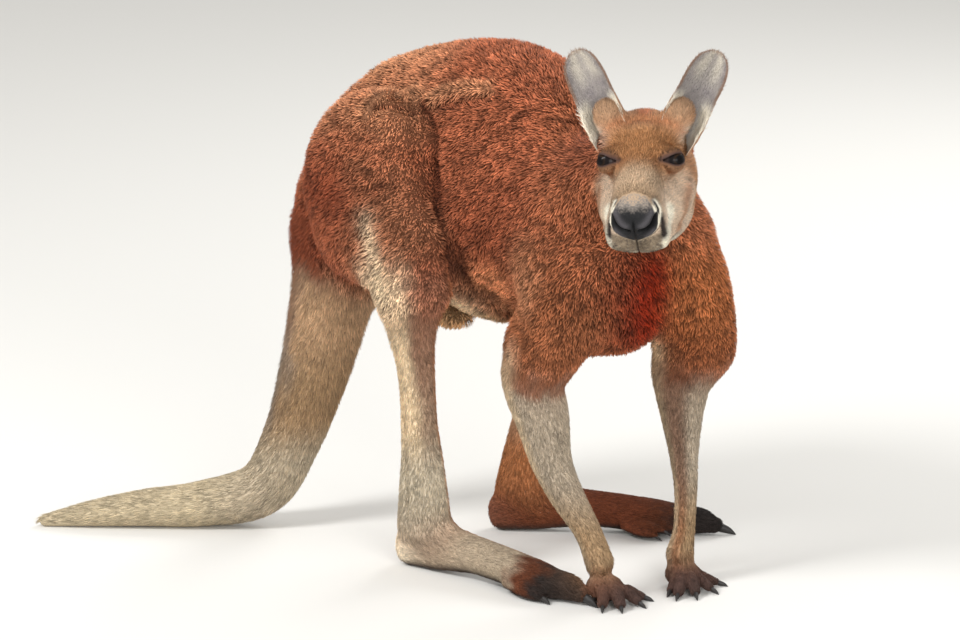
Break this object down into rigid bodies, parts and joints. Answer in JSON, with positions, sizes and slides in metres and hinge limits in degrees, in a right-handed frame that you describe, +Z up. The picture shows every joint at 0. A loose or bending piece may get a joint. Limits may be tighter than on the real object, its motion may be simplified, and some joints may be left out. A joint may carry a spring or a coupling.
{
  "type": "red kangaroo",
  "caption": "Still, life-size model of an adult male red kangaroo standing on all fours with an arched back, its tail laid on the floor and its head turned to its right.",
  "frame": {"origin": "on the floor, under the middle of the bounding box", "axes": "+X forwards, from the tail to the chest; +Y to the animal's left; +Z up"},
  "size_m": [1.1146, 0.588, 0.8237],
  "materials": {
    "coat": "short woolly rust-red fur",
    "pale_coat": "short pale fawn fur",
    "dark_coat": "very short dark brown fur",
    "ear": "fine grey-white fur over thin skin",
    "eye": "wet glossy dark brown",
    "claw": "worn horn"
  },
  "bodies": {
    "root": {"claw_foot_left_1": "claw", "claw_foot_left_2": "claw", "claw_foot_left_3": "claw", "claw_foot_left_4": "claw", "claw_foot_right_1": "claw", "claw_foot_right_2": "claw", "claw_foot_right_3": "claw", "claw_foot_right_4": "claw", "claw_paw_left_1": "claw", "claw_paw_left_2": "claw", "claw_paw_left_3": "claw", "claw_paw_left_4": "claw", "claw_paw_left_5": "claw", "claw_paw_right_1": "claw", "claw_paw_right_2": "claw", "claw_paw_right_3": "claw", "claw_paw_right_4": "claw", "claw_paw_right_5": "claw", "ear_left": "ear", "ear_right": "ear", "eye_left": "eye", "eye_right": "eye", "foot_left": "dark_coat", "foot_right": "dark_coat", "forearm_left": "pale_coat", "forearm_right": "pale_coat", "head": "coat", "neck": "coat", "paw_left": "dark_coat", "paw_right": "dark_coat", "shank_left": "pale_coat", "shank_right": "pale_coat", "tail_base": "coat", "tail_end": "pale_coat", "tail_middle": "pale_coat", "thigh_left": "coat", "thigh_right": "coat", "trunk": "coat", "upper_arm_left": "coat", "upper_arm_right": "coat"}
  },
  "joints": []
}
